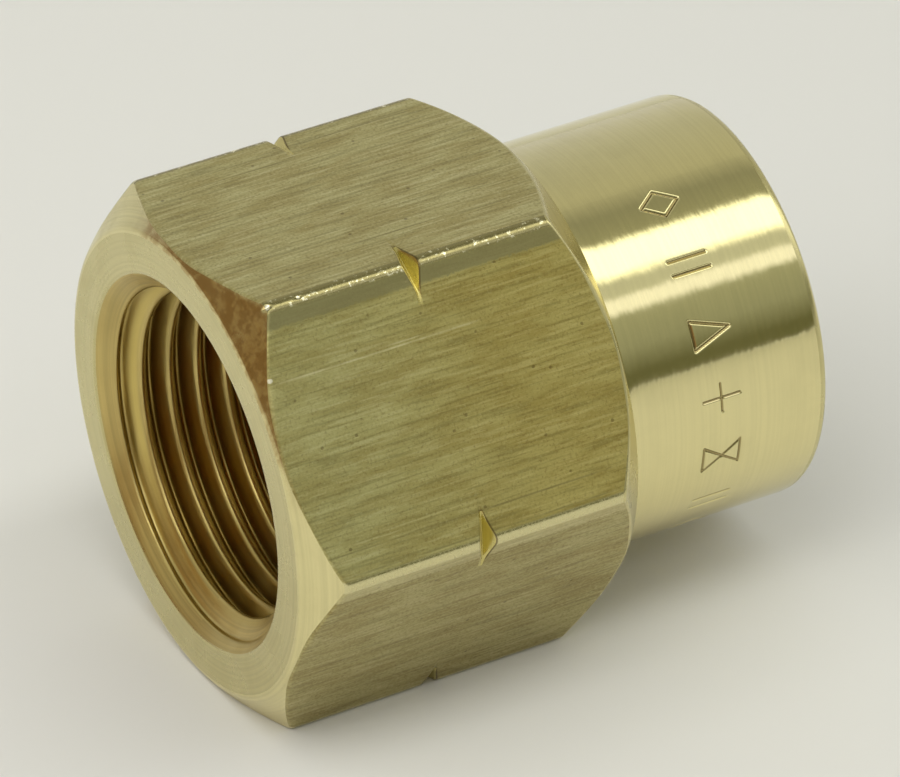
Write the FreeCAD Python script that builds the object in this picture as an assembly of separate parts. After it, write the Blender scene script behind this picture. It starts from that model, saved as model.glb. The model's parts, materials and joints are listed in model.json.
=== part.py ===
import FreeCAD, Part
import math
import os

# Flare swivel fitting: a swivel nut turns on a flare stem, and the
# stem is brazed into a round barrel that takes a tube. Lengths in mm.
# Every piece is drawn about the X axis with the nut's mouth face at x = 0,
# then moved so that the part rests on a flat of the nut at z = 0.

# Hexagon of the swivel nut, 7/8 inch across flats
ACROSS_FLATS = 22.225
NUT_LENGTH = 17.01
CORNER_RADIUS = 0.6
MOUTH_CHAMFER_RADIUS = 10.86
MOUTH_CHAMFER_SLOPE = 0.759
BACK_CHAMFER_RADIUS = 10.95
BACK_CHAMFER_SLOPE = 0.930

# Notch turned round the corners at mid-length
NOTCH_X = 8.42
NOTCH_FLOOR_RADIUS = 12.08
NOTCH_SLOPE = 0.60

# Right-hand straight thread: 18 threads to the inch, 60 degrees, sharp crests.
# THREAD_PHASE_X is where a groove's middle crosses the top of the bore.
THREAD_MAJOR_RADIUS = 8.40
THREAD_MINOR_RADIUS = 7.47
THREAD_PITCH = 1.411
THREAD_PHASE_X = 1.40
THREAD_FLANK_ANGLE = 30.0
THREAD_CREST_FLAT = 0.20
THREAD_END_X = 9.66
BORE_SECTORS = 6
MOUTH_COUNTERSINK_RADIUS = 8.89
RELIEF_RADIUS = 8.50

# Running fit of the nut on the stem, and the nut's float along it
SHANK_RADIUS = 6.15
RUNNING_CLEARANCE = 0.05
FACE_GAP = 0.02
NUT_FLOAT = 0.25
SHOULDER_X = 12.90

# Flare stem
GAS_WAY_RADIUS = 4.0
HEAD_RADIUS = 7.15
HEAD_FRONT_X = 9.4
HEAD_LENGTH = 2.9
SEAT_MOUTH_RADIUS = 6.6
HEAD_EDGE = 0.3

# Washers, gasket, seal and filler ring. The slip washer and the stem's head go in
# through the thread, so both are smaller than its minor radius.
SLIP_WASHER_RADIUS = 7.15
WASHER_HOLE_CLEARANCE = 0.10
BACK_WASHER_RADIUS = 9.14
BACK_WASHER_THICKNESS = 0.32
GASKET_THICKNESS = 0.5
GASKET_EDGE_INSET = 0.15
SEAL_GROOVE_X = 14.3
SEAL_GROOVE_WIDTH = 1.2
SEAL_GROOVE_DEPTH = 0.85
SEAL_CORNER = 0.32
SEAL_SIDE_GAP = 0.04
FILLER_LEG = 0.6

# Barrel, 3/4 inch in diameter, with its cup for 5/8 inch tube
TOTAL_LENGTH = 27.72
BARREL_RADIUS = 9.525
BARREL_FRONT_EDGE = 0.15
BARREL_END_ROUND = 0.40
CUP_RADIUS = 7.99
CUP_DEPTH = 7.6
CUP_LEAD_IN = 0.4

# Engraved row of plain signs round the barrel
SIGN_X = 22.22
SIGN_HEIGHT = 2.0
SIGN_WIDTH = 1.5
STROKE_WIDTH = 0.13
STROKE_DEPTH = 0.09
FIRST_SIGN_ANGLE = 26.0
SIGN_STEP_ANGLE = 19.0

# Worked out from the above
SHOULDER_HOLE_RADIUS = SHANK_RADIUS + RUNNING_CLEARANCE
HEAD_BACK_X = HEAD_FRONT_X + HEAD_LENGTH
BACK_WASHER_X = NUT_LENGTH + NUT_FLOAT + FACE_GAP
BARREL_X = BACK_WASHER_X + BACK_WASHER_THICKNESS
CUP_FLOOR_X = TOTAL_LENGTH - CUP_DEPTH

X_AXIS = FreeCAD.Vector(1, 0, 0)
ORIGIN = FreeCAD.Vector(0, 0, 0)


def turned(points, sweep=360):
    """Solid of revolution about X from an outline of (x, radius) points."""
    corners = [FreeCAD.Vector(x, 0, radius) for x, radius in points]
    outline = Part.makePolygon(corners + corners[:1])
    return Part.Face(outline).revolve(ORIGIN, X_AXIS, sweep)


def ring(x_start, x_end, inner_radius, outer_radius):
    """Plain ring between two planes across the X axis."""
    return turned([
        (x_start, inner_radius),
        (x_start, outer_radius),
        (x_end, outer_radius),
        (x_end, inner_radius),
    ])


def hexagon_bar():
    """Drawn hexagon bar along X, flats up and down, corners slightly round."""
    corner = ACROSS_FLATS / math.sqrt(3)
    points = []
    for index in range(6):
        angle = math.radians(60 * index)
        points.append(FreeCAD.Vector(0, corner * math.cos(angle), corner * math.sin(angle)))
    section = Part.Face(Part.makePolygon(points + points[:1]))
    bar = section.extrude(FreeCAD.Vector(NUT_LENGTH, 0, 0))
    long_edges = [edge for edge in bar.Edges if abs(edge.Length - NUT_LENGTH) < 0.001]
    return bar.makeFillet(CORNER_RADIUS, long_edges)


def nut_envelope():
    """Turned outline of the nut: both chamfers and the notch at mid-length."""
    clear = ACROSS_FLATS
    mouth_run = (clear - MOUTH_CHAMFER_RADIUS) * MOUTH_CHAMFER_SLOPE
    back_run = (clear - BACK_CHAMFER_RADIUS) * BACK_CHAMFER_SLOPE
    outside = 2 * clear
    mouth_cone = turned([
        (0, 0),
        (0, MOUTH_CHAMFER_RADIUS),
        (mouth_run, clear),
        (outside, clear),
        (outside, 0),
    ])
    back_cone = turned([
        (NUT_LENGTH, 0),
        (NUT_LENGTH, BACK_CHAMFER_RADIUS),
        (NUT_LENGTH - back_run, clear),
        (-outside, clear),
        (-outside, 0),
    ])
    notch_half_width = (clear - NOTCH_FLOOR_RADIUS) * NOTCH_SLOPE
    notch = turned([
        (NOTCH_X, NOTCH_FLOOR_RADIUS),
        (NOTCH_X - notch_half_width, clear),
        (NOTCH_X + notch_half_width, clear),
    ])
    return mouth_cone.common(back_cone).cut(notch)


def thread_cutter():
    """Right-hand helical groove, swept from before the mouth into the relief."""
    depth = THREAD_MAJOR_RADIUS - THREAD_MINOR_RADIUS
    flank = math.tan(math.radians(THREAD_FLANK_ANGLE))
    overlap = 0.1
    inner_radius = THREAD_MINOR_RADIUS - overlap
    root_half = (THREAD_PITCH - THREAD_CREST_FLAT) / 2 - depth * flank
    mouth_half = root_half + (depth + overlap) * flank
    start = THREAD_PHASE_X - 1.5 * THREAD_PITCH
    length = THREAD_END_X + 0.2 * THREAD_PITCH - start
    profile = Part.makePolygon([
        FreeCAD.Vector(inner_radius, 0, start - mouth_half),
        FreeCAD.Vector(THREAD_MAJOR_RADIUS, 0, start - root_half),
        FreeCAD.Vector(THREAD_MAJOR_RADIUS, 0, start + root_half),
        FreeCAD.Vector(inner_radius, 0, start + mouth_half),
        FreeCAD.Vector(inner_radius, 0, start - mouth_half),
    ])
    helix = Part.makeLongHelix(THREAD_PITCH, length, THREAD_MINOR_RADIUS, 0, False)
    helix.translate(FreeCAD.Vector(0, 0, start))
    cutter = Part.Wire(helix.Edges).makePipeShell([profile], True, True)
    cutter.rotate(ORIGIN, FreeCAD.Vector(0, 1, 0), 90)
    return cutter


def nut_inside():
    """Hollow of the nut, in sectors, so that each turn of the crest is several faces."""
    countersink_run = MOUTH_COUNTERSINK_RADIUS - THREAD_MINOR_RADIUS
    relief_run = RELIEF_RADIUS - THREAD_MINOR_RADIUS
    outline = [
        (-1, 0),
        (-1, MOUTH_COUNTERSINK_RADIUS),
        (0, MOUTH_COUNTERSINK_RADIUS),
        (countersink_run, THREAD_MINOR_RADIUS),
        (THREAD_END_X - relief_run, THREAD_MINOR_RADIUS),
        (THREAD_END_X, RELIEF_RADIUS),
        (SHOULDER_X, RELIEF_RADIUS),
        (SHOULDER_X, SHOULDER_HOLE_RADIUS),
        (NUT_LENGTH + 1, SHOULDER_HOLE_RADIUS),
        (NUT_LENGTH + 1, 0),
    ]
    sweep = 360 / BORE_SECTORS
    sectors = [turned(outline, sweep) for _ in range(BORE_SECTORS)]
    for index, sector in enumerate(sectors):
        sector.rotate(ORIGIN, X_AXIS, index * sweep)
    return sectors[0].fuse(sectors[1:])


def swivel_nut():
    """Hexagon nut with a threaded mouth and a shoulder that bears on the stem's head."""
    blank = hexagon_bar().common(nut_envelope()).cut(nut_inside())
    return blank.cut(thread_cutter())


def flare_stem():
    """Stem with a 45 degree flare seat in its head, a seal groove and a brazed tail."""
    groove_end = SEAL_GROOVE_X + SEAL_GROOVE_WIDTH
    groove_floor = SHANK_RADIUS - SEAL_GROOVE_DEPTH
    seat_end = HEAD_FRONT_X + SEAT_MOUTH_RADIUS - GAS_WAY_RADIUS
    return turned([
        (HEAD_FRONT_X, SEAT_MOUTH_RADIUS),
        (HEAD_FRONT_X, HEAD_RADIUS - HEAD_EDGE),
        (HEAD_FRONT_X + HEAD_EDGE, HEAD_RADIUS),
        (HEAD_BACK_X, HEAD_RADIUS),
        (HEAD_BACK_X, SHANK_RADIUS),
        (SEAL_GROOVE_X, SHANK_RADIUS),
        (SEAL_GROOVE_X, groove_floor),
        (groove_end, groove_floor),
        (groove_end, SHANK_RADIUS),
        (CUP_FLOOR_X, SHANK_RADIUS),
        (CUP_FLOOR_X, GAS_WAY_RADIUS),
        (seat_end, GAS_WAY_RADIUS),
    ])


def flare_gasket():
    """Soft copper cone that lies on the flare seat."""
    front_x = HEAD_FRONT_X + GASKET_EDGE_INSET
    front_radius = SEAT_MOUTH_RADIUS - GASKET_EDGE_INSET
    cone_run = front_radius - GAS_WAY_RADIUS - GASKET_EDGE_INSET
    back_radius = front_radius - cone_run
    axial_thickness = GASKET_THICKNESS * math.sqrt(2)
    return turned([
        (front_x, front_radius),
        (front_x + cone_run, back_radius),
        (front_x + cone_run - axial_thickness, back_radius),
        (front_x - axial_thickness, front_radius),
    ])


def slip_washer():
    """Washer between the stem's head and the nut's shoulder."""
    hole_radius = SHANK_RADIUS + WASHER_HOLE_CLEARANCE
    return ring(HEAD_BACK_X + FACE_GAP, SHOULDER_X - FACE_GAP, hole_radius, SLIP_WASHER_RADIUS)


def stem_o_ring():
    """Squeezed rubber ring in the stem's groove, inside the nut's shoulder hole."""
    x_start = SEAL_GROOVE_X + SEAL_SIDE_GAP
    x_end = SEAL_GROOVE_X + SEAL_GROOVE_WIDTH - SEAL_SIDE_GAP
    floor_radius = SHANK_RADIUS - SEAL_GROOVE_DEPTH
    body = ring(x_start, x_end, floor_radius, SHANK_RADIUS)
    rims = [edge for edge in body.Edges if isinstance(edge.Curve, Part.Circle)]
    return body.makeFillet(SEAL_CORNER, rims)


def back_washer():
    """Thin washer that keeps the nut off the barrel."""
    hole_radius = SHANK_RADIUS + WASHER_HOLE_CLEARANCE
    return ring(BACK_WASHER_X, BARREL_X, hole_radius, BACK_WASHER_RADIUS)


def brazing_ring():
    """Ring of brazing filler round the stem's end, level with the cup's floor."""
    return turned([
        (CUP_FLOOR_X - FILLER_LEG, SHANK_RADIUS),
        (CUP_FLOOR_X, SHANK_RADIUS),
        (CUP_FLOOR_X, SHANK_RADIUS + FILLER_LEG),
    ])


def stroke(start, end):
    """Upright prism for one straight stroke, between two (along, across) points."""
    along = end[0] - start[0]
    across = end[1] - start[1]
    length = math.hypot(along, across)
    height = 2.0
    box = Part.makeBox(length + STROKE_WIDTH, STROKE_WIDTH, height)
    box.translate(FreeCAD.Vector(-STROKE_WIDTH / 2, -STROKE_WIDTH / 2, 0))
    box.rotate(ORIGIN, FreeCAD.Vector(0, 0, 1), math.degrees(math.atan2(across, along)))
    box.translate(FreeCAD.Vector(start[0], start[1], 0))
    return box


def sign_strokes():
    """Plain signs as lists of strokes, in halves of the sign's height and width."""
    diamond = [((-1, 0), (0, -1)), ((0, -1), (1, 0)), ((1, 0), (0, 1)), ((0, 1), (-1, 0))]
    double_bar = [((-1, -0.5), (1, -0.5)), ((-1, 0.5), (1, 0.5))]
    triangle = [((-1, -1), (1, 0)), ((1, 0), (-1, 1)), ((-1, 1), (-1, -1))]
    cross = [((-1, 0), (1, 0)), ((0, -1), (0, 1))]
    hourglass = [((-1, -1), (1, 1)), ((-1, 1), (1, -1)), ((-1, -1), (-1, 1)), ((1, -1), (1, 1))]
    return [diamond, double_bar, triangle, cross, hourglass, double_bar, diamond]


def engraving():
    """Shallow cut of the row of signs, running round the barrel."""
    half_height = (SIGN_HEIGHT - STROKE_WIDTH) / 2
    half_width = (SIGN_WIDTH - STROKE_WIDTH) / 2
    prisms = []
    for index, strokes in enumerate(sign_strokes()):
        for start, end in strokes:
            first = (start[0] * half_height, start[1] * half_width)
            last = (end[0] * half_height, end[1] * half_width)
            prism = stroke(first, last)
            prism.translate(FreeCAD.Vector(SIGN_X, 0, BARREL_RADIUS - 1))
            prism.rotate(ORIGIN, X_AXIS, FIRST_SIGN_ANGLE + index * SIGN_STEP_ANGLE)
            prisms.append(prism)
    skin = ring(SIGN_X - SIGN_HEIGHT, SIGN_X + SIGN_HEIGHT,
                BARREL_RADIUS - STROKE_DEPTH, BARREL_RADIUS + 1)
    return prisms[0].fuse(prisms[1:]).common(skin)


def barrel():
    """Round barrel: brazed on the stem's tail, with a cup for the tube."""
    end_start = TOTAL_LENGTH - BARREL_END_ROUND
    body = turned([
        (BARREL_X, SHANK_RADIUS),
        (BARREL_X, BARREL_RADIUS - BARREL_FRONT_EDGE),
        (BARREL_X + BARREL_FRONT_EDGE, BARREL_RADIUS),
        (TOTAL_LENGTH, BARREL_RADIUS),
        (TOTAL_LENGTH, CUP_RADIUS + CUP_LEAD_IN),
        (TOTAL_LENGTH - CUP_LEAD_IN, CUP_RADIUS),
        (CUP_FLOOR_X, CUP_RADIUS),
        (CUP_FLOOR_X, SHANK_RADIUS + FILLER_LEG),
        (CUP_FLOOR_X - FILLER_LEG, SHANK_RADIUS),
    ])
    rim = [
        edge for edge in body.Edges
        if edge.BoundBox.XMin > end_start and edge.BoundBox.ZMax > BARREL_RADIUS - 0.01
        and edge.BoundBox.XLength < 0.01
    ]
    return body.makeFillet(BARREL_END_ROUND, rim).cut(engraving())


def save(name, shape):
    """Move a piece to its place in the part's frame and write its file."""
    placed = shape.copy()
    placed.translate(FreeCAD.Vector(-TOTAL_LENGTH / 2, 0, ACROSS_FLATS / 2))
    placed.exportStep("parts/" + name + ".step")


os.makedirs("parts", exist_ok=True)
PIECES = [
    swivel_nut,
    flare_stem,
    flare_gasket,
    slip_washer,
    stem_o_ring,
    back_washer,
    brazing_ring,
    barrel,
]
for piece in PIECES:
    save(piece.__name__, piece())
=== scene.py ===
"""Brass flare swivel fitting: detailed pieces and materials round the CAD frame.

Lengths are in millimetres along the fitting's own axis, measured from the nut's
mouth face, and place() turns them into metres in the row frame. Angles round the
axis start at the top and grow towards -Y. Named values and tables hold them in
degrees, arrays and shader sockets in radians.
"""
import json
import math
from collections import namedtuple

import bpy
import numpy as np
from mathutils import Matrix, Vector


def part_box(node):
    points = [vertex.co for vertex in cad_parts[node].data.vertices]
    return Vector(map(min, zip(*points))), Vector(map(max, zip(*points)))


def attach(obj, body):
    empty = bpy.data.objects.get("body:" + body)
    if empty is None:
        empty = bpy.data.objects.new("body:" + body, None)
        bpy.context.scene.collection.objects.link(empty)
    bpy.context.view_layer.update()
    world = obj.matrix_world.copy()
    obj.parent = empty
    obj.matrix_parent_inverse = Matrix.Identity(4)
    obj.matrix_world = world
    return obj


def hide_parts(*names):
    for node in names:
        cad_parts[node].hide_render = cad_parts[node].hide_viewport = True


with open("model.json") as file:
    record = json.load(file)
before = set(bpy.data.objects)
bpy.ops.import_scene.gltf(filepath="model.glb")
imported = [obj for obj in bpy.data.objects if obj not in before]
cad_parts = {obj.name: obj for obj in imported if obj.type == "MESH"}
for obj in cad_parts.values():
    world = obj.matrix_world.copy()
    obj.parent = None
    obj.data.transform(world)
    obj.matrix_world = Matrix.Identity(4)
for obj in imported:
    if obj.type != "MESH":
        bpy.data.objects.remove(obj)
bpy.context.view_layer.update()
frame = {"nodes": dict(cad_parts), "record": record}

MM = 0.001

# ---------------------------------------------------------------- sizes from the frame
BOXES = {name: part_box(name) for name in frame["nodes"]}
MOUNTS = {mount["name"]: mount for mount in frame["record"]["mounts"]}
MOUTH = BOXES["swivel_nut"][0].x
AXIS_HEIGHT = (BOXES["swivel_nut"][0].z + BOXES["swivel_nut"][1].z) / 2


def start_of(node):
    """Distance in mm from the mouth face to the node's near end."""
    return (BOXES[node][0].x - MOUTH) / MM


def end_of(node):
    """Distance in mm from the mouth face to the node's far end."""
    return (BOXES[node][1].x - MOUTH) / MM


def radius_of(node):
    """Half the node's height in mm: the outer radius of a turned piece."""
    return (BOXES[node][1].z - BOXES[node][0].z) / 2 / MM


HALF_FLATS = radius_of("swivel_nut")
NUT_END = end_of("swivel_nut")
THREAD_MINOR = MOUNTS["gas_thread"]["dims"]["r_mm"]
CUP_RADIUS = MOUNTS["tube_cup"]["dims"]["r_mm"]
BARREL_START = start_of("barrel")
BARREL_END = end_of("barrel")
BARREL_RADIUS = radius_of("barrel")

# ---------------------------------------------------------------- sizes that the boxes don't give
CORNER_ROUND = 0.6
MOUTH_CHAMFER_RADIUS = 10.86
MOUTH_CHAMFER_SLOPE = 0.759
BACK_CHAMFER_RADIUS = 10.95
BACK_CHAMFER_SLOPE = 0.930
NOTCH_X = 8.42
NOTCH_FLOOR = 12.08
NOTCH_SLOPE = 0.60
NOTCH_LEAST_HALF = 0.12
CORNER_REACH = 12.75
PITCH = 1.411
THREAD_MAJOR = 8.40
THREAD_FLAT = 0.20
THREAD_FLANK_ANGLE = 30.0
THREAD_PHASE_X = 1.40
COUNTERSINK_RADIUS = 8.89
RELIEF_START = 9.66
RELIEF_RADIUS = 8.50
COUNTERSINK_ROUND = 0.06
RUN_OUT_ROUND = 0.04
THREAD_ROWS_FROM = 0.15
THREAD_ROW_STEP = 0.09
SHOULDER_X = 12.90
SHOULDER_HOLE = 6.20
SHANK_RADIUS = 6.15
GAS_WAY = 4.0
HEAD_LENGTH = 2.9
HEAD_EDGE = 0.3
SEAT_MOUTH = 6.6
SEAL_GROOVE_X = 14.3
SEAL_GROOVE_WIDTH = 1.2
SEAL_GROOVE_DEPTH = 0.85
WASHER_HOLE = 6.25
CUP_FLOOR = end_of("flare_stem")
FILLER_LEG = radius_of("brazing_ring") - SHANK_RADIUS
CUP_LEAD_IN = 0.4
END_ROUND = 0.40
FRONT_EDGE = 0.15
SIGN_X = 22.22
SIGN_HEIGHT = 2.0
SIGN_WIDTH = 1.5
SIGN_STROKE = 0.13
SIGN_DEPTH = 0.09
FIRST_SIGN = 26.0
SIGN_STEP = 19.0
SIGN_EDGE = 0.05
SIGN_MARGIN = 0.15
SIGN_SIDE = 7.0
# Angles in degrees of the chamfer's painted brown reflection.
BROWN_REFLECTION_FIRST = -15.0
BROWN_REFLECTION_LAST = 62.0

# Rounding of the thread, as shares of its depth.
CREST_ROUND = 0.10
ROOT_ROUND = 0.14

# Colours are linear light.
BRASS = (0.80, 0.72, 0.38)
FACED_BRASS = (0.69, 0.62, 0.315)
NOTCH_BRASS = (0.68, 0.59, 0.22)
THREAD_BRASS = (0.66, 0.52, 0.20)
COPPER = (0.78, 0.36, 0.20)
RUBBER = (0.02, 0.02, 0.02)
RUBBER_LIGHT = (0.05, 0.05, 0.05)
PAPER = (0.80, 0.80, 0.80)
# Bare metal in the dings, painted brighter than brass as a glint.
BARE_METAL_GLINT = (0.98, 0.93, 0.74)
FILLER_BRASS = (0.72, 0.58, 0.33)
WASHER_BRASS = (0.82, 0.74, 0.42)
BAR_DARK = (0.51, 0.435, 0.18)
BAR_LIGHT = (0.62, 0.565, 0.27)
STREAK_DARK = (0.30, 0.26, 0.11)
STREAK_LIGHT = (0.80, 0.75, 0.44)
SPECK_DARK = (0.24, 0.18, 0.07)
SPECK_LIGHT = (0.82, 0.78, 0.50)
PIT = (0.16, 0.12, 0.05)
# Painted light on the front flat, greyer near the mouth, and painted shade on the flat below it.
FRONT_FLAT_LIGHT_NEAR = (0.92, 0.94, 0.88)
FRONT_FLAT_LIGHT_FAR = (0.93, 0.87, 0.64)
UNDER_FLAT_SHADE = (0.78, 0.76, 0.72)
DIE_LINE_BRIGHT = (0.92, 0.86, 0.55)
DIE_LINE_DARK = (0.26, 0.22, 0.09)
# Painted shade on the strip beside the upper corner, painted highlight beside the lower corners.
STRIP_UPPER_SHADE = (0.31, 0.285, 0.14)
STRIP_LOWER_HIGHLIGHT = (0.86, 0.80, 0.48)
# Painted shade on the corners with painted glints, lighter on the lower corners.
CORNER_SHADE = (0.34, 0.30, 0.14)
CORNER_GLINT = (0.92, 0.87, 0.60)
LOWER_CORNER_HIGHLIGHT = (0.68, 0.62, 0.34)
# Painted shade along the edges of the notches.
NOTCH_EDGE_SHADE = (0.13, 0.09, 0.03)
# Painted reflection of brown surroundings on the mouth's chamfer.
BROWN_REFLECTION = (0.40, 0.26, 0.09)
# Painted shade deep in the thread's grooves.
GROOVE_FLANK_SHADE = (0.68, 0.54, 0.17)
GROOVE_ROOT_SHADE = (0.34, 0.24, 0.07)
SIGN_FLOOR = (0.36, 0.29, 0.13)
WARM_GLOW = (0.30, 0.20, 0.10)

# Dings: x, angle, radius and depth.
DINGS = [
    (1.42, 30.0, 0.16, 0.10),
    (0.57, 43.6, 0.14, 0.08),
    (2.93, 30.0, 0.10, 0.05),
]

# Die lines along the flats: the flat's angle, place across it, first and last x,
# half width, and whether the line is brighter than the metal beside it.
DIE_LINES = [
    (0, -5.2, 7.0, 15.0, 0.07, False),
    (0, -4.2, 2.4, 8.4, 0.06, False),
    (0, 3.8, 7.0, 12.0, 0.06, False),
    (60, -3.05, 0.7, 10.5, 0.06, True),
    (60, -3.2, 5.6, 7.9, 0.05, True),
    (60, 4.9, 1.0, 15.0, 0.06, False),
    (60, 5.9, 1.0, 15.0, 0.06, False),
]


# ---------------------------------------------------------------- number helpers
def soft_max(a, b, soft):
    """Larger of a and b, rounded over a band of width soft."""
    mix = np.clip(0.5 + (a - b) / (2 * soft), 0, 1)
    return b + (a - b) * mix + soft * mix * (1 - mix)


def soft_min(a, b, soft):
    """Smaller of a and b, rounded over a band of width soft."""
    return -soft_max(-a, -b, soft)


def smooth_step(value):
    """0 below 0, 1 above 1, and an S curve between."""
    value = np.clip(value, 0, 1)
    return value * value * (3 - 2 * value)


# ---------------------------------------------------------------- turned meshes
def rounded_outline(points, arc_steps=3):
    """Rows of a closed outline with rounded corners, and how many each corner has.

    Each point is (x, radius, corner size, plain rows to the next corner). x and
    radius are numbers, or arrays with one value per column round the axis.
    """
    rows = []
    groups = []
    shape = np.broadcast_shapes(*[np.shape(part) for point in points for part in point[:2]])
    places = [np.stack([np.broadcast_to(x, shape), np.broadcast_to(radius, shape)])
              for x, radius, corner, plain in points]
    for index, (x, radius, corner, plain) in enumerate(points):
        after = points[(index + 1) % len(points)]
        here = places[index]
        to_before = places[index - 1] - here
        to_after = places[(index + 1) % len(points)] - here
        before_length = np.hypot(*to_before)
        after_length = np.hypot(*to_after)
        reach = np.minimum(corner, 0.4 * np.minimum(before_length, after_length))
        first = here + to_before / before_length * reach
        last = here + to_after / after_length * reach
        for step in range(arc_steps + 1):
            t = step / arc_steps
            rows.append((1 - t) ** 2 * first + 2 * t * (1 - t) * here + t ** 2 * last)
        next_reach = np.minimum(after[2], 0.4 * after_length)
        next_first = here + to_after * (1 - next_reach / after_length)
        for step in range(plain):
            t = (step + 1) / (plain + 1)
            rows.append(last + (next_first - last) * t)
        groups += [index] * (arc_steps + 1 + plain)
    return rows, groups


def place(x, radius, angles):
    """Points in the row frame for x and radius in mm at angles round the axis."""
    return np.stack([
        MOUTH + x * MM,
        -np.sin(angles) * radius * MM,
        AXIS_HEIGHT + np.cos(angles) * radius * MM,
    ], axis=-1)


def ring_piece(name, node, rows, angles, materials, zones=None, change=None):
    """Closed mesh from rows that run once round the outline, standing for a CAD node.

    zones holds the material number of each row, or of each row and column.
    change(x, radius, angles) returns the finished radius of every point.
    """
    columns = len(angles)
    grid = np.array([[np.broadcast_to(part, columns) for part in row] for row in rows])
    x = grid[:, 0]
    radius = grid[:, 1]
    if change is not None:
        radius = change(x, radius, angles)
    points = place(x, radius, np.broadcast_to(angles, x.shape))
    row, column = np.divmod(np.arange(len(rows) * columns), columns)
    next_row = (row + 1) % len(rows)
    next_column = (column + 1) % columns
    faces = np.stack([
        row * columns + column,
        next_row * columns + column,
        next_row * columns + next_column,
        row * columns + next_column,
    ], axis=1)
    mesh = bpy.data.meshes.new(name)
    mesh.from_pydata(points.reshape(-1, 3).tolist(), [], faces.tolist())
    for material in materials:
        mesh.materials.append(material)
    if zones is not None:
        mesh.polygons.foreach_set("material_index", np.broadcast_to(
            np.reshape(zones, (len(rows), -1)), (len(rows), columns)).ravel())
    mesh.polygons.foreach_set("use_smooth", np.ones(len(faces), bool))
    mesh.update()
    piece = bpy.data.objects.new(name, mesh)
    bpy.context.scene.collection.objects.link(piece)
    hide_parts(node)
    return piece


def even_angles(columns):
    """Angles of evenly spaced columns, in radians."""
    return np.arange(columns) * 2 * math.pi / columns


def turned_piece(name, node, outline, material, columns=192):
    """Plain turned piece with rounded edges."""
    rows, _ = rounded_outline(outline)
    return ring_piece(name, node, rows, even_angles(columns), [material])


# ---------------------------------------------------------------- material helpers
def new_material(name):
    """New material, its node tree and its Principled shader."""
    material = bpy.data.materials.new(name)
    material.use_nodes = True
    return material, material.node_tree, material.node_tree.nodes["Principled BSDF"]


def put(tree, value, socket):
    """Link value to socket if it is a socket, else store it there."""
    if isinstance(value, bpy.types.NodeSocket):
        tree.links.new(value, socket)
    else:
        socket.default_value = value


def math_of(tree, operation, a, b=0.0):
    """Result of a Math node."""
    made = tree.nodes.new("ShaderNodeMath")
    made.operation = operation
    put(tree, a, made.inputs[0])
    put(tree, b, made.inputs[1])
    return made.outputs[0]


def range_of(tree, value, low, high, to_low=0.0, to_high=1.0):
    """Value mapped from low..high to to_low..to_high, smoothly and clamped."""
    made = tree.nodes.new("ShaderNodeMapRange")
    made.interpolation_type = "SMOOTHSTEP"
    put(tree, value, made.inputs["Value"])
    put(tree, low, made.inputs["From Min"])
    put(tree, high, made.inputs["From Max"])
    put(tree, to_low, made.inputs["To Min"])
    put(tree, to_high, made.inputs["To Max"])
    return made.outputs["Result"]


def mix_colour(tree, share, a, b, blend="MIX"):
    """Colour mixed from a to b by share."""
    made = tree.nodes.new("ShaderNodeMix")
    made.data_type = "RGBA"
    made.blend_type = blend
    put(tree, share, made.inputs["Factor"])
    put(tree, (*a, 1) if isinstance(a, tuple) else a, made.inputs["A"])
    put(tree, (*b, 1) if isinstance(b, tuple) else b, made.inputs["B"])
    return next(out for out in made.outputs if out.type == "RGBA")


def vector_of(tree, x, y, z):
    """Vector from three numbers or sockets."""
    made = tree.nodes.new("ShaderNodeCombineXYZ")
    put(tree, x, made.inputs[0])
    put(tree, y, made.inputs[1])
    put(tree, z, made.inputs[2])
    return made.outputs[0]


def noise_of(tree, vector, scale, detail=2.0, roughness=0.5):
    """Noise from 0 to 1."""
    made = tree.nodes.new("ShaderNodeTexNoise")
    put(tree, vector, made.inputs["Vector"])
    put(tree, scale, made.inputs["Scale"])
    put(tree, detail, made.inputs["Detail"])
    put(tree, roughness, made.inputs["Roughness"])
    return made.outputs["Factor"] if "Factor" in made.outputs else made.outputs[0]


def cells_of(tree, vector, scale):
    """Distance to the nearest of scattered points."""
    made = tree.nodes.new("ShaderNodeTexVoronoi")
    put(tree, vector, made.inputs["Vector"])
    put(tree, scale, made.inputs["Scale"])
    return made.outputs["Distance"]


def bump_of(tree, height, distance_mm, strength=1.0, below=None):
    """Normal from a height from 0 to 1 that stands for distance_mm."""
    made = tree.nodes.new("ShaderNodeBump")
    made.inputs["Distance"].default_value = distance_mm * MM
    made.inputs["Strength"].default_value = strength
    put(tree, height, made.inputs["Height"])
    if below is not None:
        put(tree, below, made.inputs["Normal"])
    return made.outputs["Normal"]


Place = namedtuple("Place", "x y z radius angle")


def part_coordinates(tree):
    """Place on the fitting about its axis, as sockets in mm and radians."""
    source = tree.nodes.new("ShaderNodeTexCoord").outputs["Object"]
    split = tree.nodes.new("ShaderNodeSeparateXYZ")
    put(tree, source, split.inputs[0])
    x = math_of(tree, "MULTIPLY", math_of(tree, "SUBTRACT", split.outputs[0], MOUTH), 1 / MM)
    y = math_of(tree, "MULTIPLY", split.outputs[1], 1 / MM)
    z = math_of(
        tree, "MULTIPLY", math_of(tree, "SUBTRACT", split.outputs[2], AXIS_HEIGHT), 1 / MM)
    squares = math_of(tree, "ADD", math_of(tree, "MULTIPLY", y, y), math_of(tree, "MULTIPLY", z, z))
    radius = math_of(tree, "SQRT", squares)
    angle = math_of(tree, "ARCTAN2", math_of(tree, "MULTIPLY", y, -1.0), z)
    return Place(x, y, z, radius, angle)


def point_of(tree, at, along=1.0):
    """Vector to a place. Less than 1 along X draws a pattern out along the fitting."""
    x = math_of(tree, "MULTIPLY", at.x, along)
    return vector_of(tree, x, at.y, at.z)


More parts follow.
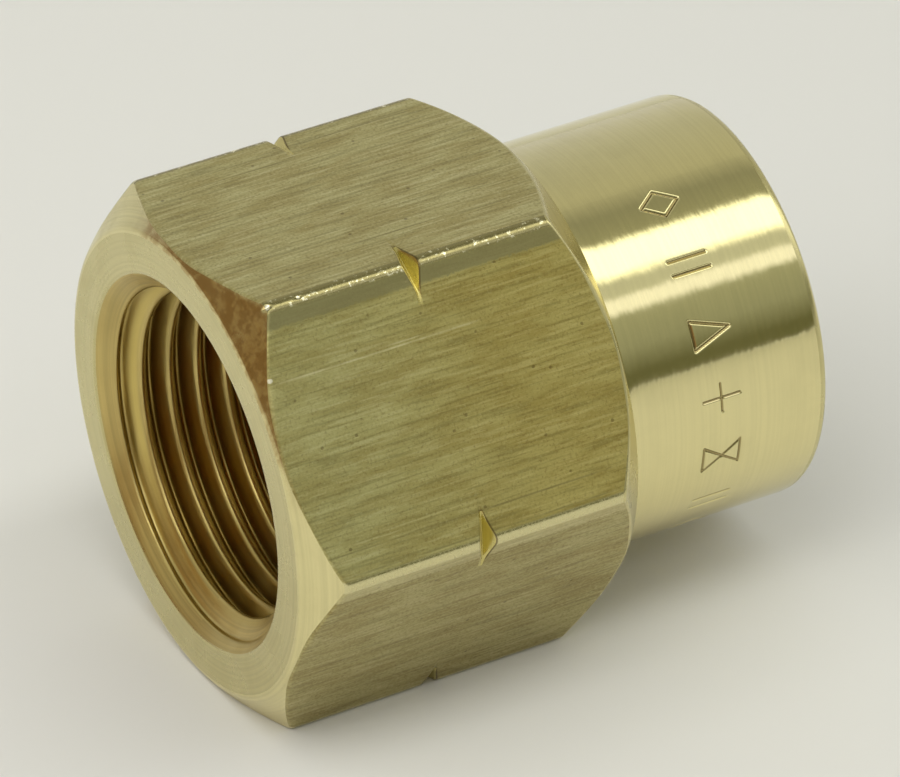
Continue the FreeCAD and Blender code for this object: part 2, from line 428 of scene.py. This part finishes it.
def product(tree, *shares):
    """Product of several sockets."""
    result = shares[0]
    for share in shares[1:]:
        result = math_of(tree, "MULTIPLY", result, share)
    return result


def window(tree, value, low, high, soft):
    """1 between low and high, 0 outside, with edges of width soft."""
    return product(
        tree,
        range_of(tree, value, low - soft / 2, low + soft / 2),
        range_of(tree, value, high - soft / 2, high + soft / 2, 1.0, 0.0),
    )


def round_tangent(tree, shader):
    """Tangent round the fitting's axis, for the spread of gloss across tool marks."""
    tangent = tree.nodes.new("ShaderNodeTangent")
    tangent.direction_type = "RADIAL"
    tangent.axis = "X"
    put(tree, tangent.outputs[0], shader.inputs["Tangent"])


# ---------------------------------------------------------------- marks and painted light on the hexagon
def flat_coordinates(tree, at, facing):
    """(across, height) sockets in mm for the flat that faces the given angle in degrees."""
    cosine = math.cos(math.radians(facing))
    sine = math.sin(math.radians(facing))
    across = math_of(
        tree, "ADD", math_of(tree, "MULTIPLY", at.y, -cosine), math_of(tree, "MULTIPLY", at.z, -sine))
    height = math_of(
        tree, "ADD", math_of(tree, "MULTIPLY", at.y, -sine), math_of(tree, "MULTIPLY", at.z, cosine))
    return across, height


def on_flat(tree, height, inset):
    """1 at the height of a flat, 0 from inset mm below it."""
    return range_of(tree, height, HALF_FLATS - inset, HALF_FLATS - inset + 0.2)


def die_line(tree, at, facing, across_at, first, last, half_width):
    """Share of one thin straight line along X on a flat."""
    across, height = flat_coordinates(tree, at, facing)
    away = math_of(tree, "ABSOLUTE", math_of(tree, "SUBTRACT", across, across_at))
    return product(
        tree,
        range_of(tree, away, half_width * 0.3, half_width, 1.0, 0.0),
        window(tree, at.x, first, last, 1.2),
        on_flat(tree, height, 0.3),
    )


def ding_share(tree, at):
    """1 inside a ding, 0 away from every ding, with ragged edges."""
    noise = noise_of(tree, point_of(tree, at), 6.0, 2.0, 0.6)
    ragged = math_of(tree, "MULTIPLY", math_of(tree, "SUBTRACT", noise, 0.5), 0.12)
    total = 0.0
    for ding_x, degrees, size, _ in DINGS:
        turn = math.radians(degrees)
        reach = float(hexagon_radius(np.array([turn]))[0])
        squares = 0.0
        for here, centre in [
            (at.x, ding_x), (at.y, -reach * math.sin(turn)), (at.z, reach * math.cos(turn)),
        ]:
            square = math_of(tree, "POWER", math_of(tree, "SUBTRACT", here, centre), 2.0)
            squares = math_of(tree, "ADD", square, squares)
        away = math_of(tree, "ADD", math_of(tree, "SQRT", squares), ragged)
        total = math_of(tree, "MAXIMUM", range_of(tree, away, size * 0.7, size, 1.0, 0.0), total)
    return total


def bar_colour(tree, streaks, speckle, mottle):
    """Mottled dull brass with long streaks and fine specks."""
    colour = mix_colour(tree, range_of(tree, mottle, 0.36, 0.64), BAR_DARK, BAR_LIGHT)
    for noise, low, high, at_low, at_high, tone in [
        (streaks, 0.50, 0.64, 0.0, 0.48, STREAK_DARK),
        (streaks, 0.36, 0.48, 0.42, 0.0, STREAK_LIGHT),
        (speckle, 0.50, 0.72, 0.0, 0.46, SPECK_DARK),
        (speckle, 0.28, 0.44, 0.32, 0.0, SPECK_LIGHT),
    ]:
        share = range_of(tree, noise, low, high, at_low, at_high)
        colour = mix_colour(tree, share, colour, tone)
    return colour


def flats_with_painted_light(tree, at, colour):
    """Colour with painted light on the front flat, greyer near the mouth and yellower towards the
    back, and painted shade on the flat below it.
    """
    front_flat_light = mix_colour(tree, range_of(tree, at.x, 2.0, 14.0), FRONT_FLAT_LIGHT_NEAR, FRONT_FLAT_LIGHT_FAR)
    for facing, painted_tone in [(60, front_flat_light), (120, UNDER_FLAT_SHADE)]:
        _, height = flat_coordinates(tree, at, facing)
        colour = mix_colour(tree, on_flat(tree, height, 0.4), colour, painted_tone, "MULTIPLY")
    return colour


def scored_flats(tree, at, mottle, colour):
    """Colour with the die lines on it, their strength following the mottle."""
    worn = range_of(tree, mottle, 0.40, 0.60, 0.15, 0.55)
    for facing, across_at, first, last, half_width, bright in DIE_LINES:
        share = die_line(tree, at, facing, across_at, first, last, half_width)
        tone = DIE_LINE_BRIGHT if bright else DIE_LINE_DARK
        colour = mix_colour(tree, product(tree, share, worn), colour, tone)
    return colour


def corners_with_painted_light(tree, at, speckle, colour):
    """Colour with painted shade, glints and highlights on the corners and on strips beside them, and
    the corners' share.
    """
    turn = math_of(tree, "FLOORED_MODULO", at.angle, math.radians(60))
    beside = math_of(
        tree, "MULTIPLY", math_of(tree, "SUBTRACT", turn, math.radians(30)), CORNER_REACH)
    on_corner = range_of(tree, math_of(tree, "ABSOLUTE", beside), 0.24, 0.34, 1.0, 0.0)
    ragged = math_of(tree, "ADD", beside, math_of(
        tree, "MULTIPLY", math_of(tree, "SUBTRACT", speckle, 0.5), 0.35))
    strip = window(tree, ragged, 0.28, 0.95, 0.16)
    upper = window(tree, at.angle, math.radians(20), math.radians(45), 0.05)
    lower = range_of(tree, at.angle, math.radians(50), math.radians(75))
    strip_share = math_of(
        tree, "MAXIMUM", product(tree, upper, 0.8), product(tree, lower, 0.3))
    strip_light_tone = mix_colour(tree, lower, STRIP_UPPER_SHADE, STRIP_LOWER_HIGHLIGHT)
    colour = mix_colour(tree, product(tree, strip, strip_share), colour, strip_light_tone)
    corner_glints = range_of(tree, noise_of(tree, point_of(tree, at), 3.4, 4.0, 0.7), 0.56, 0.64)
    corner_light_tone = mix_colour(tree, corner_glints, CORNER_SHADE, CORNER_GLINT)
    corner_light_tone = mix_colour(tree, lower, corner_light_tone, LOWER_CORNER_HIGHLIGHT)
    return mix_colour(tree, on_corner, colour, corner_light_tone), on_corner


def notch_edge_shade(tree, at):
    """Share of the painted shade: a thin dark line round each notch."""
    from_middle = math_of(tree, "ABSOLUTE", math_of(tree, "SUBTRACT", at.x, NOTCH_X))
    half_width = math_of(
        tree, "MULTIPLY", math_of(tree, "SUBTRACT", at.radius, NOTCH_FLOOR), NOTCH_SLOPE)
    from_notch = math_of(tree, "SUBTRACT", from_middle, half_width)
    return product(
        tree,
        range_of(tree, from_notch, 0.03, 0.09, 1.0, 0.0),
        range_of(tree, at.radius, NOTCH_FLOOR - 0.05, NOTCH_FLOOR + 0.05),
    )


# ---------------------------------------------------------------- marks and painted light on turned pieces
def chamfer_reflection_and_dings(tree, at, base):
    """Painted brown reflection with golden patches round one side of the mouth's chamfer, and the
    dings.
    """
    patches = noise_of(tree, point_of(tree, at), 1.7, 3.0, 0.6)
    share = product(
        tree,
        window(tree, at.angle, math.radians(BROWN_REFLECTION_FIRST), math.radians(BROWN_REFLECTION_LAST), 0.10),
        range_of(tree, patches, 0.44, 0.60, 0.66, 0.18),
    )
    # Painted brown reflection on one side of the chamfer.
    base = mix_colour(tree, share, base, BROWN_REFLECTION)
    # Bare metal in the dings, painted bright as a glint.
    return mix_colour(tree, ding_share(tree, at), base, BARE_METAL_GLINT)


def thread_groove_shade(tree, at, base):
    """Painted brown shade in the grooves of the thread, darker towards their roots."""
    flank = range_of(tree, at.radius, THREAD_MINOR + 0.05, THREAD_MINOR + 0.30)
    root = range_of(tree, at.radius, THREAD_MINOR + 0.35, THREAD_MINOR + 0.80)
    cone_end = COUNTERSINK_RADIUS - THREAD_MINOR
    inside = range_of(tree, at.x, cone_end - 0.5, cone_end)
    base = mix_colour(tree, product(tree, flank, inside, 0.8), base, GROOVE_FLANK_SHADE)
    return mix_colour(tree, product(tree, root, inside, 0.8), base, GROOVE_ROOT_SHADE)


def sign_marks(tree, at, base):
    """Darker floors of the engraved signs."""
    cut = range_of(tree, at.radius, BARREL_RADIUS - 0.06, BARREL_RADIUS - 0.02, 1.0, 0.0)
    return mix_colour(tree, cut, base, SIGN_FLOOR)


# ---------------------------------------------------------------- materials
def drawn_brass():
    """Flats of the hexagon: dull drawn bar with die lines and mottle, painted light on the front flat
    and the corners, painted shade below and round the notches.
    """
    material, tree, shader = new_material("drawn_brass")
    at = part_coordinates(tree)
    streaks = noise_of(tree, point_of(tree, at, 0.05), 6.5, 4.0, 0.65)
    speckle = noise_of(tree, point_of(tree, at), 8.0, 3.0, 0.65)
    mottle = noise_of(tree, point_of(tree, at, 0.3), 1.0, 5.0, 0.65)
    pits = math_of(tree, "ADD", cells_of(tree, point_of(tree, at), 0.85), math_of(
        tree, "MULTIPLY", math_of(tree, "SUBTRACT", speckle, 0.5), 0.10))
    pit_share = range_of(tree, pits, 0.05, 0.09, 1.0, 0.0)

    colour = bar_colour(tree, streaks, speckle, mottle)
    colour = mix_colour(tree, product(tree, pit_share, 0.55), colour, PIT)
    # Painted light on the front flat and painted shade on the flat below it.
    colour = flats_with_painted_light(tree, at, colour)
    colour = scored_flats(tree, at, mottle, colour)
    # Painted shade, glints and highlights on the corners and the strips beside them.
    colour, on_corner = corners_with_painted_light(tree, at, speckle, colour)
    # Painted shade: a thin dark line round each notch.
    outline = product(tree, notch_edge_shade(tree, at), 0.75)
    colour = mix_colour(tree, outline, colour, NOTCH_EDGE_SHADE)
    # Bare metal in the dings, painted bright as a glint.
    colour = mix_colour(tree, ding_share(tree, at), colour, BARE_METAL_GLINT)
    put(tree, colour, shader.inputs["Base Color"])
    shader.inputs["Metallic"].default_value = 1.0
    dull = range_of(tree, speckle, 0.3, 0.7, 0.38, 0.50)
    put(tree, math_of(tree, "SUBTRACT", dull, product(tree, on_corner, 0.20)),
        shader.inputs["Roughness"])
    streak_bump = bump_of(tree, streaks, 0.006, 0.6)
    grain_bump = bump_of(tree, speckle, 0.006, 0.7, streak_bump)
    put(tree, bump_of(tree, pit_share, -0.01, 0.6, grain_bump), shader.inputs["Normal"])
    return material


def turned_brass(name, colour, lines_per_mm, line_depth_mm, roughness, darkening=0.12,
                 marks=None, chatter_mm=0.0):
    """Lathe-turned brass: fine lines round the axis, with faint wear and stains.

    marks(tree, at, base) returns the base colour with more marks on it; for the thread and the
    chamfer these are painted shade and painted reflection.
    """
    material, tree, shader = new_material(name)
    at = part_coordinates(tree)
    rings = vector_of(tree, at.x, at.radius, math_of(tree, "MULTIPLY", at.angle, 0.05))
    lines = noise_of(tree, rings, lines_per_mm, 3.0, 0.6)
    bands = noise_of(tree, rings, lines_per_mm / 7, 1.0, 0.5)
    stain = noise_of(tree, point_of(tree, at), 0.45, 4.0, 0.6)
    darker = tuple(part * (1 - darkening) for part in colour)
    stained = tuple(part * 0.75 for part in colour)
    base = mix_colour(tree, range_of(tree, lines, 0.3, 0.7), darker, colour)
    base = mix_colour(tree, range_of(tree, stain, 0.45, 0.75, 0.0, 0.22), base, stained)
    if marks is not None:
        base = marks(tree, at, base)
    put(tree, base, shader.inputs["Base Color"])
    shader.inputs["Metallic"].default_value = 1.0
    shader.inputs["Anisotropic"].default_value = 0.5
    round_tangent(tree, shader)
    gloss = range_of(tree, stain, 0.3, 0.7, roughness * 0.85, roughness * 1.25)
    put(tree, gloss, shader.inputs["Roughness"])
    chatter = noise_of(tree, vector_of(
        tree,
        math_of(tree, "MULTIPLY", at.x, 2.5),
        math_of(tree, "MULTIPLY", at.y, 0.6),
        math_of(tree, "MULTIPLY", at.z, 0.6),
    ), 1.0, 2.0, 0.5)
    chatter_bump = bump_of(tree, chatter, chatter_mm, 0.5)
    band_bump = bump_of(tree, bands, line_depth_mm * 2, 0.5, chatter_bump)
    put(tree, bump_of(tree, lines, line_depth_mm, 0.6, band_bump), shader.inputs["Normal"])
    return material


def rubber():
    """Matt black rubber with a faint grain."""
    material, tree, shader = new_material("seal_rubber")
    grain = noise_of(tree, point_of(tree, part_coordinates(tree)), 6.0, 4.0, 0.6)
    put(tree, mix_colour(tree, grain, RUBBER, RUBBER_LIGHT), shader.inputs["Base Color"])
    put(tree, range_of(tree, grain, 0.3, 0.7, 0.55, 0.75), shader.inputs["Roughness"])
    put(tree, bump_of(tree, grain, 0.01, 0.5), shader.inputs["Normal"])
    return material


def paper():
    """Pale floor with the faintest cloud of grey."""
    material, tree, shader = new_material("paper")
    source = tree.nodes.new("ShaderNodeTexCoord").outputs["Object"]
    cloud = noise_of(tree, source, 18.0, 3.0, 0.5)
    greyer = tuple(part * 0.97 for part in PAPER)
    put(tree, mix_colour(tree, cloud, greyer, PAPER), shader.inputs["Base Color"])
    shader.inputs["Roughness"].default_value = 0.7
    return material


# ---------------------------------------------------------------- nut
FLAT_ZONE, TURNED_ZONE, NOTCH_ZONE, THREAD_ZONE, CHAMFER_ZONE = range(5)


def nut_angles():
    """Columns round the nut, closer together at its six corners."""
    half = np.concatenate([
        np.linspace(0, 26, 13, endpoint=False),
        np.linspace(26, 28.4, 6, endpoint=False),
        np.linspace(28.4, 30, 8, endpoint=False),
    ])
    sector = np.concatenate([-half[:0:-1], half, [30.0]])
    return np.radians(np.concatenate([sector + 60 * index for index in range(6)]))


def hexagon_radius(angles):
    """Radius of the hexagon, flats up and down, with its corners slightly round."""
    from_corner = np.radians(np.abs(30 - np.mod(np.degrees(angles), 60)))
    centre = (HALF_FLATS - CORNER_ROUND) / math.cos(math.radians(30))
    tangent = math.radians(30) - math.atan(
        math.tan(math.radians(30)) * (HALF_FLATS - CORNER_ROUND) / HALF_FLATS)
    inside = np.maximum(CORNER_ROUND ** 2 - (centre * np.sin(from_corner)) ** 2, 0)
    rounded = centre * np.cos(from_corner) + np.sqrt(inside)
    flat = HALF_FLATS / np.cos(math.radians(30) - from_corner)
    return np.where(from_corner < tangent, rounded, flat)


def bore_radius(x, angles):
    """Radius inside the mouth: countersink, right-hand thread and run-out."""
    depth = THREAD_MAJOR - THREAD_MINOR
    phase = (x - THREAD_PHASE_X) / PITCH - angles / (2 * math.pi)
    from_groove = np.abs(np.mod(phase + 0.5, 1) - 0.5) * PITCH
    flank_run = depth * math.tan(math.radians(THREAD_FLANK_ANGLE))
    share = ((PITCH - THREAD_FLAT) / 2 - from_groove) / flank_run
    share = soft_min(soft_max(share, 0, CREST_ROUND), 1, ROOT_ROUND)
    radius = THREAD_MINOR + depth * share
    radius = soft_max(radius, COUNTERSINK_RADIUS - x, COUNTERSINK_ROUND)
    return soft_max(radius, RELIEF_RADIUS - (RELIEF_START - x), RUN_OUT_ROUND)


def dinged(x, radius, angles):
    """Radius of the nut's points with the dings pressed in."""
    pressed = radius
    for ding_x, degrees, size, depth in DINGS:
        turn = math.radians(degrees)
        reach = hexagon_radius(np.array([turn]))[0]
        away = (x - ding_x) ** 2 + ((angles - turn) * reach) ** 2 + (radius - reach) ** 2
        pressed = pressed - depth * np.exp(-2 * away / size ** 2)
    return pressed


def make_nut(materials):
    """Nut as one closed mesh: hexagon, chamfers, notches, thread and shoulder."""
    angles = nut_angles()
    hexagon = hexagon_radius(angles)
    wear = 0.11 + 0.05 * np.sin(5 * angles + 1.0) * np.sin(13 * angles)
    mouth_run = (hexagon - MOUTH_CHAMFER_RADIUS) * MOUTH_CHAMFER_SLOPE
    back_run = (hexagon - BACK_CHAMFER_RADIUS) * BACK_CHAMFER_SLOPE
    notch_half = np.maximum((hexagon - NOTCH_FLOOR) * NOTCH_SLOPE, NOTCH_LEAST_HALF)
    outline = [
        (0.0, COUNTERSINK_RADIUS, 0.10, 4),
        (0.0, MOUTH_CHAMFER_RADIUS, 0.14, 6),
        (mouth_run, hexagon, wear, 40),
        (NOTCH_X - notch_half, hexagon, 0.04, 2),
        (NOTCH_X, np.minimum(hexagon, NOTCH_FLOOR), 0.05, 2),
        (NOTCH_X + notch_half, hexagon, 0.04, 26),
        (NUT_END - back_run, hexagon, wear, 6),
        (NUT_END, BACK_CHAMFER_RADIUS, 0.12, 4),
        (NUT_END, SHOULDER_HOLE, 0.15, 2),
        (SHOULDER_X, SHOULDER_HOLE, 0.10, 2),
        (SHOULDER_X, RELIEF_RADIUS, 0.20, 2),
        (RELIEF_START, RELIEF_RADIUS, 0.0, 0),
        (COUNTERSINK_RADIUS - THREAD_MINOR, THREAD_MINOR, 0.0, 0),
    ]
    zone_of_corner = [
        TURNED_ZONE, CHAMFER_ZONE, FLAT_ZONE, NOTCH_ZONE, NOTCH_ZONE, FLAT_ZONE,
        TURNED_ZONE, TURNED_ZONE, TURNED_ZONE, TURNED_ZONE, TURNED_ZONE,
    ]
    rows, groups = rounded_outline(outline)
    kept = [index for index, group in enumerate(groups) if group < len(zone_of_corner)]
    rows = [rows[index] for index in kept]
    zones = [zone_of_corner[groups[index]] for index in kept]
    for x in np.arange(RELIEF_START, THREAD_ROWS_FROM, -THREAD_ROW_STEP):
        rows.append((x, bore_radius(x, angles)))
        zones.append(THREAD_ZONE)
    zones = np.repeat(np.reshape(zones, (-1, 1)), len(angles), axis=1)
    zones[(zones == NOTCH_ZONE) & (hexagon < NOTCH_FLOOR)] = FLAT_ZONE
    return ring_piece("swivel_nut_detail", "swivel_nut", rows, angles, materials, zones, dinged)


# ---------------------------------------------------------------- barrel
def sign_strokes():
    """Plain signs as strokes between (along, round) points, in halves of their size."""
    diamond = [((-1, 0), (0, -1)), ((0, -1), (1, 0)), ((1, 0), (0, 1)), ((0, 1), (-1, 0))]
    double_bar = [((-1, -0.5), (1, -0.5)), ((-1, 0.5), (1, 0.5))]
    triangle = [((-1, -1), (1, 0)), ((1, 0), (-1, 1)), ((-1, 1), (-1, -1))]
    cross = [((-1, 0), (1, 0)), ((0, -1), (0, 1))]
    hourglass = [((-1, -1), (1, 1)), ((-1, 1), (1, -1)), ((-1, -1), (-1, 1)), ((1, -1), (1, 1))]
    return [diamond, double_bar, triangle, cross, hourglass, double_bar, diamond]


def sign_depth(x, angles):
    """Depth in mm of the engraving at each point of the barrel's outside."""
    half_height = (SIGN_HEIGHT - SIGN_STROKE) / 2
    half_width = (SIGN_WIDTH - SIGN_STROKE) / 2
    depth = np.zeros(np.broadcast(x, angles).shape)
    for index, strokes in enumerate(sign_strokes()):
        centre = math.radians(FIRST_SIGN + index * SIGN_STEP)
        along = x - SIGN_X
        across = (angles - centre) * BARREL_RADIUS
        for first, last in strokes:
            ax, ay = first[0] * half_height, -first[1] * half_width
            bx, by = last[0] * half_height, -last[1] * half_width
            length = (bx - ax) ** 2 + (by - ay) ** 2
            share = np.clip(((along - ax) * (bx - ax) + (across - ay) * (by - ay)) / length, 0, 1)
            away = np.hypot(along - ax - share * (bx - ax), across - ay - share * (by - ay))
            cut = smooth_step((SIGN_STROKE / 2 + 0.4 * SIGN_EDGE - away) / SIGN_EDGE)
            depth = np.maximum(depth, cut * SIGN_DEPTH)
    return depth


def barrel_angles():
    """Columns round the barrel, close together under the signs."""
    first = FIRST_SIGN - SIGN_SIDE
    last = FIRST_SIGN + (len(sign_strokes()) - 1) * SIGN_STEP + SIGN_SIDE
    fine = np.arange(first, last, 0.25)
    plain = np.linspace(last, first + 360, 90, endpoint=False)
    return np.radians(np.concatenate([fine, plain]))


def make_barrel(materials):
    """Barrel as one closed mesh: engraved outside, rounded end, tube cup."""
    angles = barrel_angles()
    sign_low = SIGN_X - SIGN_HEIGHT / 2 - SIGN_MARGIN
    sign_high = SIGN_X + SIGN_HEIGHT / 2 + SIGN_MARGIN
    outline = [
        (BARREL_START, BARREL_RADIUS, FRONT_EDGE, 6),
        (sign_low, BARREL_RADIUS, 0.01, 50),
        (sign_high, BARREL_RADIUS, 0.01, 8),
        (BARREL_END, BARREL_RADIUS, END_ROUND, 2),
        (BARREL_END, CUP_RADIUS + CUP_LEAD_IN, 0.06, 1),
        (BARREL_END - CUP_LEAD_IN, CUP_RADIUS, 0.10, 5),
        (CUP_FLOOR, CUP_RADIUS, 0.12, 2),
        (CUP_FLOOR, SHANK_RADIUS + FILLER_LEG, 0.02, 1),
        (CUP_FLOOR - FILLER_LEG, SHANK_RADIUS, 0.02, 2),
        (BARREL_START, SHANK_RADIUS, 0.05, 2),
    ]
    zone_of_corner = [0, 0, 0, 1, 1, 1, 1, 1, 1, 1]
    rows, groups = rounded_outline(outline, arc_steps=4)
    zones = [zone_of_corner[group] for group in groups]

    def engraved(x, radius, angles):
        outside = (x > sign_low) & (x < sign_high) & (radius > BARREL_RADIUS - 0.01)
        return radius - outside * sign_depth(x, angles)

    return ring_piece("barrel_detail", "barrel", rows, angles, materials, zones, engraved)


# ---------------------------------------------------------------- smaller pieces
def make_stem(material):
    """Flare stem: head with the flare seat, shank with the seal groove."""
    head_front = start_of("flare_stem")
    head_back = head_front + HEAD_LENGTH
    head_radius = radius_of("flare_stem")
    end = end_of("flare_stem")
    groove_end = SEAL_GROOVE_X + SEAL_GROOVE_WIDTH
    groove_floor = SHANK_RADIUS - SEAL_GROOVE_DEPTH
    outline = [
        (head_front, SEAT_MOUTH, 0.08, 1),
        (head_front, head_radius - HEAD_EDGE, 0.05, 1),
        (head_front + HEAD_EDGE, head_radius, 0.05, 2),
        (head_back, head_radius, 0.08, 1),
        (head_back, SHANK_RADIUS, 0.05, 2),
        (SEAL_GROOVE_X, SHANK_RADIUS, 0.05, 1),
        (SEAL_GROOVE_X, groove_floor, 0.08, 1),
        (groove_end, groove_floor, 0.08, 1),
        (groove_end, SHANK_RADIUS, 0.05, 3),
        (end, SHANK_RADIUS, 0.10, 2),
        (end, GAS_WAY, 0.15, 8),
        (head_front + SEAT_MOUTH - GAS_WAY, GAS_WAY, 0.15, 4),
    ]
    return turned_piece("flare_stem_detail", "flare_stem", outline, material)


def make_gasket(material):
    """Soft copper cone on the flare seat, its edges rolled."""
    inset = 0.15
    front_x = start_of("flare_stem") + inset
    front_radius = SEAT_MOUTH - inset
    cone_run = front_radius - GAS_WAY - inset
    thickness = front_x - start_of("flare_gasket")
    outline = [
        (front_x, front_radius, 0.12, 4),
        (front_x + cone_run, front_radius - cone_run, 0.12, 1),
        (front_x + cone_run - thickness, front_radius - cone_run, 0.12, 4),
        (front_x - thickness, front_radius, 0.12, 1),
    ]
    return turned_piece("flare_gasket_detail", "flare_gasket", outline, material)


def make_washer(node, material):
    """Flat washer with stamped, slightly rounded edges."""
    start, end, radius = start_of(node), end_of(node), radius_of(node)
    edge = 0.3 * (end - start)
    outline = [
        (start, WASHER_HOLE, edge, 3),
        (start, radius, edge, 1),
        (end, radius, edge, 3),
        (end, WASHER_HOLE, edge, 1),
    ]
    return turned_piece(node + "_detail", node, outline, material, 256)


def make_seal(material):
    """Squeezed rubber ring in the stem's groove."""
    start, end, radius = start_of("stem_o_ring"), end_of("stem_o_ring"), radius_of("stem_o_ring")
    floor = SHANK_RADIUS - SEAL_GROOVE_DEPTH
    outline = [
        (start, floor, 0.35, 1),
        (start, radius, 0.35, 1),
        (end, radius, 0.35, 1),
        (end, floor, 0.35, 1),
    ]
    return turned_piece("stem_o_ring_detail", "stem_o_ring", outline, material)


def make_filler(material):
    """Ring of brazing filler round the stem's end, its face a little sunken."""
    sink = 0.08
    outline = [
        (CUP_FLOOR - FILLER_LEG, SHANK_RADIUS, 0.03, 1),
        (CUP_FLOOR, SHANK_RADIUS, 0.05, 1),
        (CUP_FLOOR - sink, SHANK_RADIUS + FILLER_LEG / 2, 0.2, 1),
        (CUP_FLOOR, SHANK_RADIUS + FILLER_LEG, 0.05, 1),
    ]
    return turned_piece("brazing_ring_detail", "brazing_ring", outline, material)


# ---------------------------------------------------------------- stage
def make_floor():
    """Large pale floor under the fitting."""
    half = 1.5
    mesh = bpy.data.meshes.new("floor")
    corners = [(-half, -half, 0), (half, -half, 0), (half, half, 0), (-half, half, 0)]
    mesh.from_pydata(corners, [], [(0, 1, 2, 3)])
    mesh.materials.append(paper())
    floor = bpy.data.objects.new("floor", mesh)
    bpy.context.scene.collection.objects.link(floor)


# Light of the room round the X axis: place, and colour. 0 is the horizon behind the
# fitting, 0.5 straight up and 1 the horizon on the camera's side.
ROOM_BANDS = [
    (0.00, (0.66, 0.66, 0.68)),
    (0.20, (0.54, 0.54, 0.50)),
    (0.38, (0.53, 0.52, 0.42)),
    (0.46, (0.31, 0.31, 0.24)),
    (0.545, (0.36, 0.36, 0.26)),
    (0.565, (2.2, 2.2, 2.0)),
    (0.65, (2.2, 2.2, 2.0)),
    (0.68, (0.62, 0.63, 0.58)),
    (0.72, (0.66, 0.67, 0.60)),
    (0.735, (1.25, 1.25, 1.3)),
    (0.765, (1.25, 1.25, 1.3)),
    (0.785, (0.42, 0.43, 0.33)),
    (0.88, (0.35, 0.36, 0.28)),
    (0.96, (0.15, 0.15, 0.08)),
]


def make_room():
    """Studio surroundings: soft light overhead, dim towards the viewer, warm at the left."""
    world = bpy.data.worlds.new("room")
    world.use_nodes = True
    bpy.context.scene.world = world
    tree = world.node_tree
    background = tree.nodes["Background"]
    split = tree.nodes.new("ShaderNodeSeparateXYZ")
    put(tree, tree.nodes.new("ShaderNodeTexCoord").outputs["Generated"], split.inputs[0])
    x, y, z = split.outputs
    over = math_of(tree, "DIVIDE", math_of(tree, "ARCTAN2", z, y), math.pi)
    ramp = tree.nodes.new("ShaderNodeValToRGB")
    put(tree, over, ramp.inputs[0])
    elements = ramp.color_ramp.elements
    for position, colour in ROOM_BANDS[1:-1]:
        elements.new(position).color = (*colour, 1)
    elements[0].position, elements[0].color = ROOM_BANDS[0][0], (*ROOM_BANDS[0][1], 1)
    elements[-1].position, elements[-1].color = ROOM_BANDS[-1][0], (*ROOM_BANDS[-1][1], 1)
    leftward = range_of(tree, x, -0.35, -0.65)
    low = range_of(tree, z, 0.55, 0.35)
    warm = math_of(tree, "MULTIPLY", leftward, low)
    glow = mix_colour(tree, warm, ramp.outputs[0], WARM_GLOW)
    put(tree, glow, background.inputs["Color"])
    background.inputs["Strength"].default_value = 1.0


def make_lamp(name, direction, distance, size, power, colour=(1.0, 0.98, 0.95)):
    """Soft square lamp aimed at the fitting, for matt surfaces only."""
    lamp = bpy.data.lights.new(name, "AREA")
    lamp.size = size
    lamp.energy = power
    lamp.color = colour
    holder = bpy.data.objects.new(name, lamp)
    towards = Vector(direction).normalized()
    holder.location = towards * distance + Vector((0, 0, AXIS_HEIGHT))
    holder.rotation_euler = towards.to_track_quat("Z", "Y").to_euler()
    holder.visible_glossy = False
    bpy.context.scene.collection.objects.link(holder)


def make_camera():
    """Long lens from the front left, above, rolled a little."""
    azimuth = math.radians(27.73)
    elevation = math.radians(31.87)
    roll = math.radians(-2.30)
    distance = 0.33439
    aim = Vector((-0.000404, -0.000101, AXIS_HEIGHT - 0.000404))
    back = Vector((
        -math.sin(azimuth) * math.cos(elevation),
        -math.cos(azimuth) * math.cos(elevation),
        math.sin(elevation),
    ))
    camera = bpy.data.cameras.new("camera")
    camera.sensor_width = 36.0
    camera.lens = 296.0
    camera.clip_start = 0.01
    holder = bpy.data.objects.new("camera", camera)
    turn = back.to_track_quat("Z", "Y").to_matrix() @ Matrix.Rotation(roll, 3, "Z")
    holder.matrix_world = Matrix.Translation(aim + back * distance) @ turn.to_4x4()
    bpy.context.scene.collection.objects.link(holder)
    bpy.context.scene.camera = holder


# ---------------------------------------------------------------- build
polished = turned_brass(
    "polished_brass", BRASS, 9.0, 0.0022, 0.08, 0.05, marks=sign_marks, chatter_mm=0.022)
faced = turned_brass("faced_brass", FACED_BRASS, 7.0, 0.006, 0.26)
thread_cut = turned_brass(
    "thread_brass", THREAD_BRASS, 6.0, 0.008, 0.34, 0.25, marks=thread_groove_shade)
chamfer_cut = turned_brass("chamfer_brass", BRASS, 7.0, 0.006, 0.22, marks=chamfer_reflection_and_dings)
notch_cut = turned_brass("notch_brass", NOTCH_BRASS, 8.0, 0.006, 0.25)
bar = drawn_brass()
copper = turned_brass("gasket_copper", COPPER, 4.0, 0.006, 0.32)
filler = turned_brass("filler_brass", FILLER_BRASS, 2.0, 0.010, 0.38)
stamped = turned_brass("washer_brass", WASHER_BRASS, 5.0, 0.004, 0.22)

nut = make_nut([bar, faced, notch_cut, thread_cut, chamfer_cut])
barrel = make_barrel([polished, faced])
stem = make_stem(faced)
gasket = make_gasket(copper)
back_washer = make_washer("back_washer", stamped)
slip_washer = make_washer("slip_washer", stamped)
seal = make_seal(rubber())
braze = make_filler(filler)

RIDES = [
    (nut, "nut", "nut_brass"),
    (barrel, "tail", "barrel_brass"),
    (stem, "tail", "stem_brass"),
    (gasket, "tail", "gasket_copper"),
    (back_washer, "tail", "washer_brass"),
    (slip_washer, "washer", "washer_brass"),
    (seal, "tail", "seal_rubber"),
    (braze, "tail", "filler_brass"),
]
for piece, body, slot in RIDES:
    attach(piece, body)

make_floor()
make_room()
make_lamp("window_light", (-0.5, -0.2, 0.8), 0.22, 0.20, 0.15)
make_camera()
bpy.context.scene.view_settings.view_transform = "Standard"
